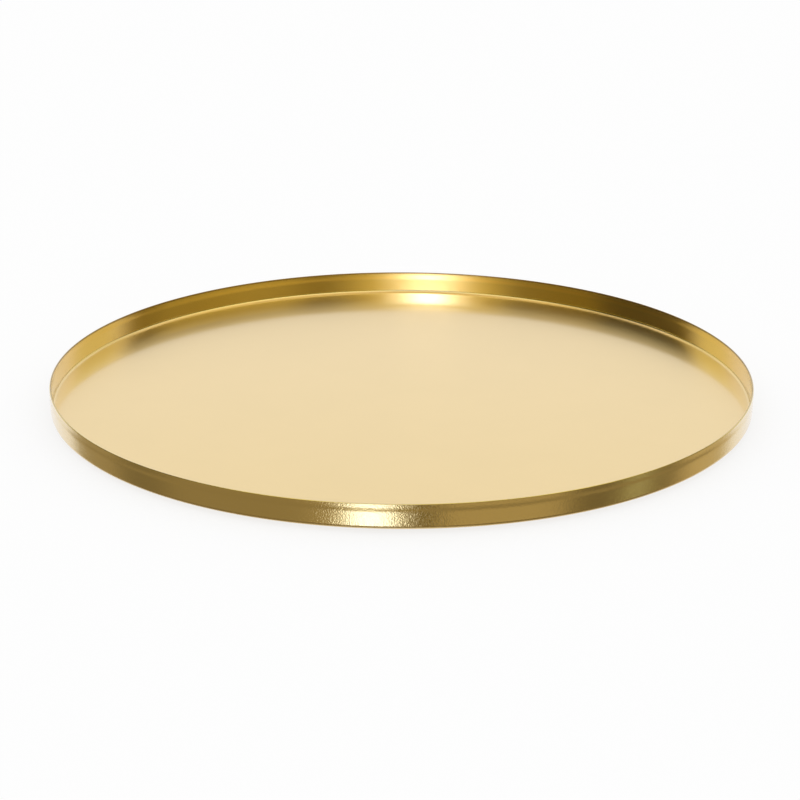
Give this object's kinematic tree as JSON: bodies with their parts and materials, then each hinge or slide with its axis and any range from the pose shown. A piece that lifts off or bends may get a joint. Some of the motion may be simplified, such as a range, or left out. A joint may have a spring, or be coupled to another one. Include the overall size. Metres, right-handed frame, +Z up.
{
  "type": "candle plate",
  "caption": "Round shallow metal candle plate with a flat floor and a low upright rim, in a satin pale-gold finish, standing on small stick-on rubber feet.",
  "frame": {"origin": "on the plate's axis, at the level of the feet's undersides, where the plate stands", "axes": "+Z up along the plate's axis; -Y is the side toward the viewer; the feet stand at the quarter turns between X and Y"},
  "size_m": [0.2999, 0.3, 0.0121],
  "materials": {
    "satin_brass": "satin, fine grain, pale gold",
    "foot_rubber": "moulded, matte",
    "adhesive": "foam-backed film, matte"
  },
  "bodies": {
    "root": {"plate": "satin_brass", "foot_front_left": "foot_rubber", "foot_front_right": "foot_rubber", "foot_back_left": "foot_rubber", "foot_back_right": "foot_rubber", "adhesive_front_left": "adhesive", "adhesive_front_right": "adhesive", "adhesive_back_left": "adhesive", "adhesive_back_right": "adhesive"}
  },
  "joints": []
}
